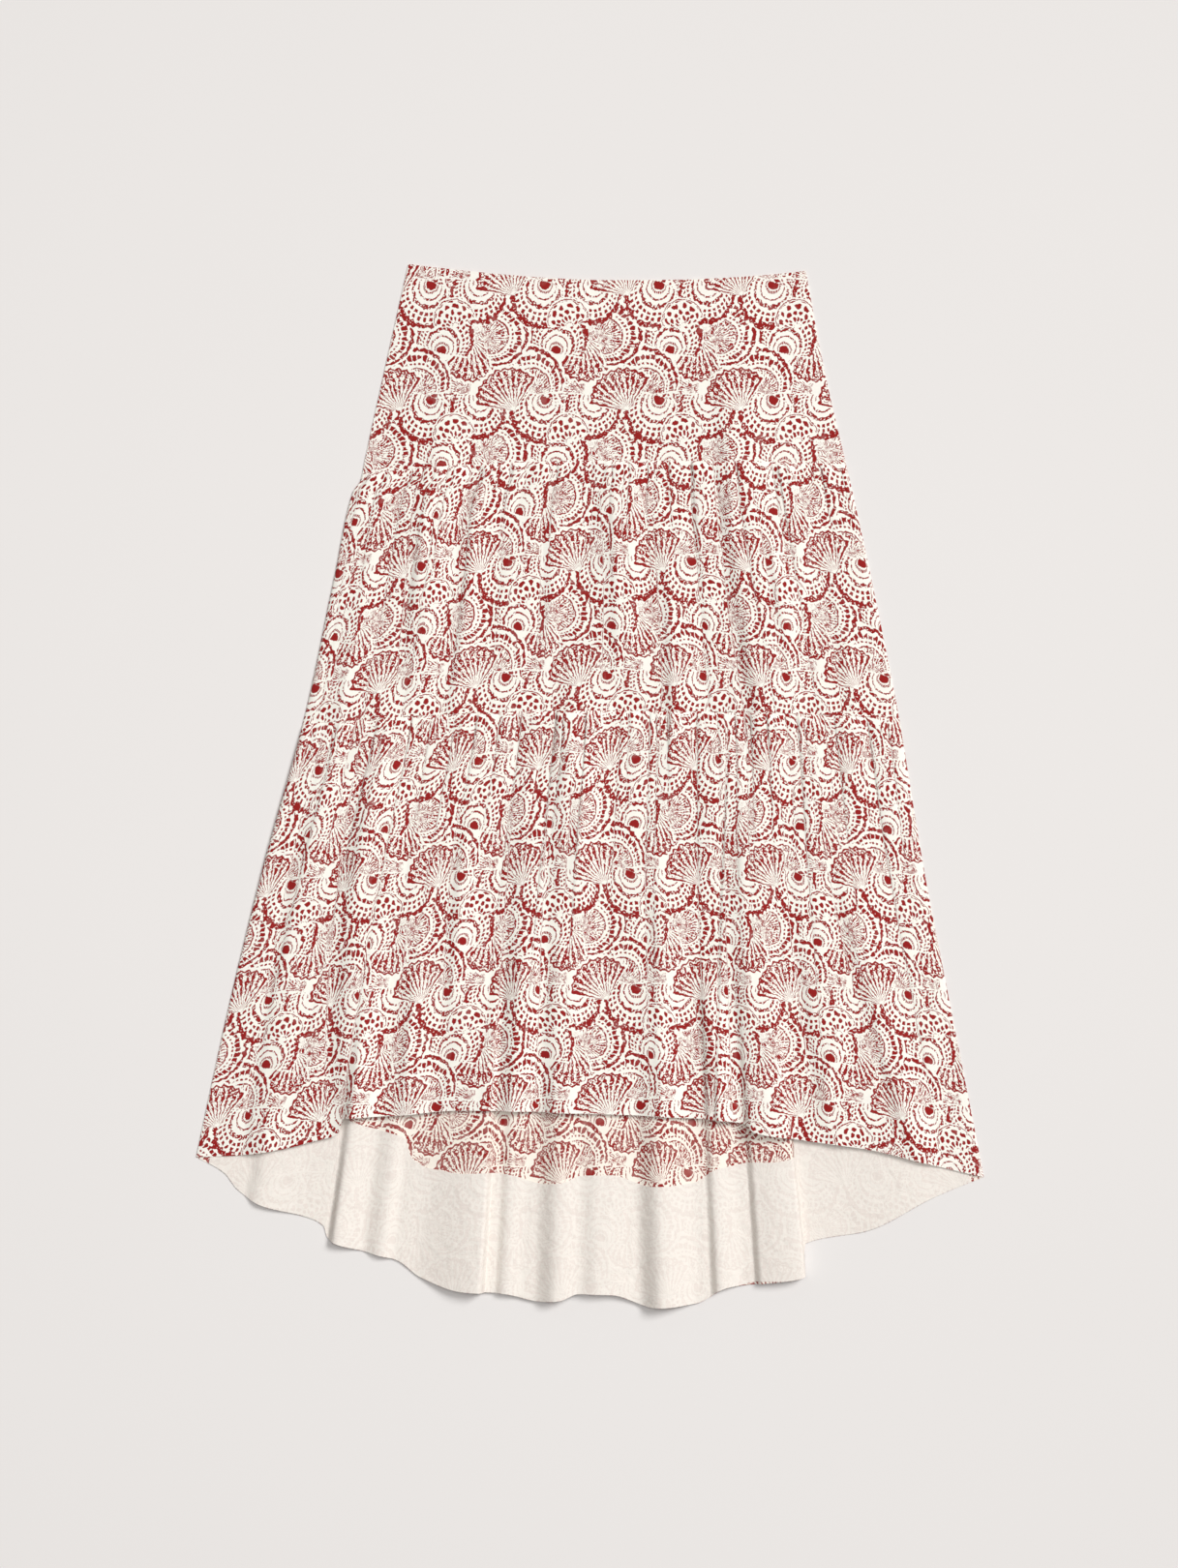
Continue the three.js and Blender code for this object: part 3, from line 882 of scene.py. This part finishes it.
def whelk_shell(n, far, angle, grain, fleck):
    """A coil with short strokes across its outer turn."""
    coiled = n.math("LOGARITHM", n.most(far, 0.02), 1.9)
    turns = n.linear(angle, 1 / (2 * math.pi), coiled)
    coil = n.times(n.under(n.beats(turns, 1), 0.06), n.over(fleck, 0.3))
    stroke = n.under(n.beats(angle, 3.2), n.linear(grain, 0.55, -0.04))
    strokes = n.times(stroke, n.near(n.math("FRACT", turns), 0.42, 0.30), n.over(far, 0.22))
    ink = n.times(n.most(coil, strokes, n.near(far, 0.955, 0.03)), n.under(far, 0.985))
    return ink, n.under(far, 1.06)


SHELL_KINDS = {
    "fan": fan_shell,
    "banded": banded_shell,
    "rayed": rayed_shell,
    "spotted": spotted_shell,
    "whelk": whelk_shell,
}


# The unsteady hand: two noises per millimetre push the lines aside, this many millimetres
WANDER, WANDER_PUSH = 0.16, (2.2, 2.2, 0)
SHAKE, SHAKE_PUSH = 0.55, (0.9, 0.9, 0)
# Noises per millimetre that thin the lines and break them, and the ink's uneven tone: noise per
# millimetre, swing and least share
GRAIN = 0.24
FLECK = 0.62
TONE, TONE_SWING, TONE_LEAST = 0.08, 0.4, 0.83
# From metres on the cloth to millimetres
TO_MM = (1000, 1000, 0)


DRAWING_INPUTS = ("Distance", "Angle", "Grain", "Fleck")


def shell_drawing(kind):
    """One kind of shell as the maker of a node group."""

    def make(n, given):
        ink, cover = SHELL_KINDS[kind](n, *(given[name] for name in DRAWING_INPUTS))
        return {"Ink": ink, "Cover": cover}

    return make


def shell_print(n, given):
    """The whole print: every shell of a repeat, each over the ones before it."""
    inputs = {VECTOR: ["Cloth", "Hinge"], FLOAT: ["Turn", "Size"]}
    place = node_group("Shell place", inputs, shell_place)
    cloth = n.vector("MULTIPLY", given["Cloth"], TO_MM)
    wander = n.noise(cloth, WANDER, 1.0).outputs["Color"]
    moved = n.vector("MULTIPLY_ADD", wander, WANDER_PUSH, cloth)
    shake = n.noise(cloth, SHAKE).outputs["Color"]
    moved = n.vector("MULTIPLY_ADD", shake, SHAKE_PUSH, moved)
    grain = n.noise(moved, GRAIN).outputs["Fac"]
    fleck = n.noise(moved, FLECK).outputs["Fac"]
    ink = 0.0
    for kind, across, up, turn, size in SHELLS:
        hinge = (across, up, 0)
        at = n.use(place, Cloth=moved, Hinge=hinge, Turn=math.radians(turn), Size=float(size))
        drawing = node_group("Shell " + kind, {FLOAT: DRAWING_INPUTS}, shell_drawing(kind))
        shell = n.use(drawing, Distance=at["Distance"], Angle=at["Angle"], Grain=grain, Fleck=fleck)
        ink = n.linear(ink, n.math("SUBTRACT", 1.0, shell["Cover"]), shell["Ink"])
    tone = n.noise(cloth, TONE, 2.0).outputs["Fac"]
    return {"Ink": ink, "Shade": n.linear(tone, TONE_SWING, TONE_LEAST)}


# The relief of the cloth, as shares of its depth: threads and slubs. The last are the slubs' noises
# per millimetre, which run along the warp and along the weft, and that of the rumples.
THREADS = 0.02
SLUBS = 0.03
ALONG_WARP, ALONG_WEFT = (2.2, 0.06, 0), (0.06, 2.2, 0)
RUMPLES = 0.11


def plain_weave(n, given):
    """Warp over weft in a plain weave, with threads of uneven thickness."""
    cloth = n.vector("MULTIPLY", given["Cloth"], TO_MM)
    part = n.add("ShaderNodeSeparateXYZ", [cloth]).outputs
    turn = n.math("DIVIDE", math.pi, given["Pitch"])
    warp, weft = (n.math("SINE", n.times(part[axis], turn)) for axis in (0, 1))
    on_top = n.over(n.times(warp, weft), 0.0)
    warp_high, weft_high = n.math("ABSOLUTE", warp), n.math("ABSOLUTE", weft)
    step = n.times(n.math("SUBTRACT", warp_high, weft_high), on_top)
    threads = n.math("ADD", weft_high, step)
    slub_up, slub_across = (
        n.noise(n.vector("MULTIPLY", cloth, run), 1.0, 1.0).outputs["Fac"]
        for run in (ALONG_WARP, ALONG_WEFT)
    )
    slub = n.math("ADD", slub_up, slub_across)
    rumple = n.noise(cloth, RUMPLES, 3.0).outputs["Fac"]
    height = n.linear(rumple, given["Rumple"], n.times(threads, THREADS))
    return {"Height": n.linear(slub, SLUBS, height), "Slub": slub}


def new_material(name, finish):
    """A material with the given values on its shader, its nodes and that shader."""
    material = bpy.data.materials.new(name)
    material.use_nodes = True
    shader = material.node_tree.nodes["Principled BSDF"]
    for socket, value in finish.items():
        shader.inputs[socket].default_value = value
    return material, Nodes(material.node_tree), shader


# The cloths: the colour of the ground, how much of the print shows, the share of rumples in the
# relief, and the depth of the relief in metres
CLOTHS = {
    "Printed cotton": ("cream", 1.0, 0.55, 0.0008),
    "Wrong side of the print": ("inside", 0.9, 0.55, 0.0008),
    "Facing lawn": ("lawn", 0.085, 0.8, 0.0010),
}
COTTON_FINISH = {
    "Roughness": 0.88,
    "Specular IOR Level": 0.25,
    "Sheen Weight": 0.08,
    "Sheen Roughness": 0.5,
}
THREAD_FINISH = {"Roughness": 0.7}
FLOOR_FINISH = {"Roughness": 0.95, "Specular IOR Level": 0.1}
# Tones over a colour, as swing and least share, and for the last two the noise per metre: the slubs
# of the cloth, the twist of the thread and the unevenness of the surface
SLUB_TONE = (0.07, 0.93)
THREAD_TONE = (0.16, 0.86, 1800.0)
FLOOR_TONE = (0.01, 0.995, 3.0)


def material_of(name):
    """One of the cloths, in matt plain-weave cotton, made once."""
    if name in bpy.data.materials:
        return bpy.data.materials[name]
    ground, strength, rumple, depth = CLOTHS[name]
    colours = bpy.context.scene.skirt_colours
    pitch = bpy.context.scene.skirt_cloth.thread / MM
    material, nodes, shader = new_material(name, COTTON_FINISH)
    cloth = nodes.add("ShaderNodeUVMap", uv_map="Cloth").outputs["UV"]
    relief = node_group("Plain weave", {VECTOR: ["Cloth"], FLOAT: ["Pitch", "Rumple"]}, plain_weave)
    weave = nodes.use(relief, Cloth=cloth, Pitch=pitch, Rumple=rumple)
    shells = node_group("Shell print", {VECTOR: ["Cloth"]}, shell_print)
    printed = nodes.use(shells, Cloth=cloth)
    shown = nodes.times(printed["Ink"], printed["Shade"], strength)
    colour = nodes.blend(shown, (*getattr(colours, ground), 1), (*colours.ink, 1))
    colour = nodes.vector("SCALE", colour, None, None, nodes.linear(weave["Slub"], *SLUB_TONE))
    nodes.feed(shader.inputs["Base Color"], colour)
    bump = nodes.add("ShaderNodeBump")
    bump.inputs["Distance"].default_value = depth
    bump.inputs["Strength"].default_value = 1.0
    nodes.feed(bump.inputs["Height"], weave["Height"])
    nodes.feed(shader.inputs["Normal"], bump.outputs["Normal"])
    return material


def toned_material(name, colour, tone, finish):
    """A plain colour that noise makes a little uneven."""
    material, nodes, shader = new_material(name, finish)
    swing, least, scale = tone
    place = nodes.add("ShaderNodeTexCoord").outputs["Object"]
    uneven = nodes.noise(nodes.vector("SCALE", place, None, None, scale), 1.0, 2.0).outputs["Fac"]
    shade = nodes.linear(uneven, swing, least)
    nodes.feed(shader.inputs["Base Color"], nodes.vector("SCALE", colour, None, None, shade))
    return material


class SKIRT_OT_front(bpy.types.Operator):
    """Adds the front: its yoke and its two gathered tiers"""

    bl_idname = "skirt.front"
    bl_label = "Front Panels"

    def execute(self, context):
        add_panel("front_yoke", front_yoke_form())
        add_panel("front_upper_tier", front_upper_form())
        add_panel("front_lower_tier", front_lower_form())
        return {"FINISHED"}


class SKIRT_OT_back(bpy.types.Operator):
    """Adds the back: its yoke and its two gathered tiers"""

    bl_idname = "skirt.back"
    bl_label = "Back Panels"

    def execute(self, context):
        add_panel("back_yoke", back_yoke_form(), outside_down=True)
        add_panel("back_upper_tier", back_upper_form(), outside_down=True)
        add_panel("back_lower_tier", back_lower_form(), outside_down=True)
        return {"FINISHED"}


def stitch_row(name, points, pitch, length):
    """Small stitches along a row of points, each a flattened ball, joined in one piece."""
    steps = np.linalg.norm(np.diff(points, axis=0), axis=1)
    run = np.concatenate([[0], np.cumsum(steps)])
    row = bmesh.new()
    for place in np.arange(pitch, run[-1] - pitch, pitch):
        here, ahead = (
            Vector([np.interp(place + shift, run, points[:, axis]) for axis in range(3)])
            for shift in (0, length / 2)
        )
        turn = (ahead - here).to_track_quat("X", "Z").to_matrix().to_4x4()
        made = bmesh.ops.create_icosphere(row, subdivisions=1, radius=length / 2)
        bmesh.ops.scale(row, vec=STITCH_FORM, verts=made["verts"])
        bmesh.ops.transform(row, matrix=turn, verts=made["verts"])
        bmesh.ops.translate(row, vec=here, verts=made["verts"])
    bmesh.ops.scale(row, vec=(MM, MM, MM), verts=row.verts[:])
    return smooth_piece(name, mesh_of(name, row))


class SKIRT_OT_facing(bpy.types.Operator):
    """Adds the plain facing inside the back hem, and the stitches that hold its upper edge"""

    bl_idname = "skirt.facing"
    bl_label = "Hem Facing"

    def execute(self, context):
        cloth = context.scene.skirt_cloth
        points, run, depth = facing_form()
        piece = cloth_piece("back_hem_facing", points, run, depth)
        lawn = material_of("Facing lawn")
        give_thickness(piece, cloth.lawn, lawn, lawn)
        row = lifted(points, STITCH_LIFT)[STITCH_ROW]
        stitches = stitch_row("facing_stitches", row, cloth.stitch_pitch / MM, cloth.stitch / MM)
        colour = tuple(context.scene.skirt_colours.lawn)
        stitches.data.materials.append(toned_material("Thread", colour, THREAD_TONE, THREAD_FINISH))
        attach(stitches, "root")
        declare(piece, "back_hem_facing")
        return {"FINISHED"}


# The surface under the skirt, in metres: half of its width, and how far it lies below the skirt
FLOOR_HALF = 4.0
FLOOR_BELOW = 0.0002
# The lights, in metres from the middle that they shine at, how soft the key is in degrees, the
# overhead light's width in metres, and the colour of the light all round
KEY_PLACE = (1.0, 0.8, 1.25)
KEY_SOFTNESS = 24
OVERHEAD_PLACE = (0.25, 0.15, 3.6)
OVERHEAD_WIDTH = 1.4
AMBIENT_COLOUR = (1.0, 0.965, 0.93, 1)


class SKIRT_OT_stage(bpy.types.Operator):
    """Adds the pale surface, the soft light and the camera that looks straight down"""

    bl_idname = "skirt.stage"
    bl_label = "Stage"

    def execute(self, context):
        scene = context.scene
        self.add_floor(tuple(scene.skirt_colours.floor))
        self.add_light(scene, scene.skirt_stage)
        self.add_camera(scene, scene.skirt_stage.camera_height)
        scene.view_settings.view_transform = "Standard"
        return {"FINISHED"}

    def add_floor(self, colour):
        flat = bmesh.new()
        bmesh.ops.create_grid(flat, x_segments=1, y_segments=1, size=FLOOR_HALF)
        bmesh.ops.translate(flat, vec=(0, 0, -FLOOR_BELOW), verts=flat.verts[:])
        floor = linked("floor", mesh_of("floor", flat))
        surface = toned_material("Pale surface", colour, FLOOR_TONE, FLOOR_FINISH)
        floor.data.materials.append(surface)

    def add_light(self, scene, stage):
        world = bpy.data.worlds.new("Studio")
        world.use_nodes = True
        sky = world.node_tree.nodes["Background"]
        sky.inputs["Color"].default_value = AMBIENT_COLOUR
        sky.inputs["Strength"].default_value = stage.ambient
        scene.world = world
        key = bpy.data.lights.new("Key", "SUN")
        key.energy = stage.key
        key.angle = math.radians(KEY_SOFTNESS)
        overhead = bpy.data.lights.new("Overhead", "AREA")
        overhead.energy = stage.overhead
        overhead.size = OVERHEAD_WIDTH
        for light, place in ((key, KEY_PLACE), (overhead, OVERHEAD_PLACE)):
            lamp = linked(light.name, light)
            lamp.location = place
            lamp.rotation_euler = Vector(place).to_track_quat("Z", "Y").to_euler()

    def add_camera(self, scene, height):
        centre, top = origin()
        x = (PHOTO_WIDE / 2 - PHOTO_CENTRE_COLUMN) * PIXEL + centre
        y = top - (PHOTO_TALL / 2 - PHOTO_WAIST_ROW) * PIXEL
        data = bpy.data.cameras.new("Camera")
        data.lens = data.sensor_width * height / (PHOTO_TALL * PIXEL * MM)
        camera = linked("Camera", data)
        camera.location = (x * MM, y * MM, height)
        scene.camera = camera


class SKIRT_PT_sidebar(bpy.types.Panel):
    """Lists the pieces and the sizes and colours that they are made from"""

    bl_label = "Tiered Skirt"
    bl_space_type = "VIEW_3D"
    bl_region_type = "UI"
    bl_category = "Skirt"

    def draw(self, context):
        layout = self.layout
        for step in STEPS:
            layout.operator(step.bl_idname)
        for name in SETTINGS:
            group = getattr(context.scene, name)
            box = layout.box()
            for setting in group.__annotations__:
                box.prop(group, setting)


STEPS = (SKIRT_OT_stage, SKIRT_OT_back, SKIRT_OT_facing, SKIRT_OT_front)
SETTINGS = {"skirt_cloth": SkirtCloth, "skirt_colours": SkirtColours, "skirt_stage": SkirtStage}
CLASSES = (*SETTINGS.values(), *STEPS, SKIRT_PT_sidebar)


def register():
    for entry in CLASSES:
        bpy.utils.register_class(entry)
    for name, group in SETTINGS.items():
        setattr(bpy.types.Scene, name, PointerProperty(type=group))


def unregister():
    for name in SETTINGS:
        delattr(bpy.types.Scene, name)
    for entry in reversed(CLASSES):
        bpy.utils.unregister_class(entry)


def main():
    register()
    bpy.ops.skirt.stage()
    bpy.ops.skirt.back()
    bpy.ops.skirt.facing()
    bpy.ops.skirt.front()


if __name__ == "__main__":
    main()
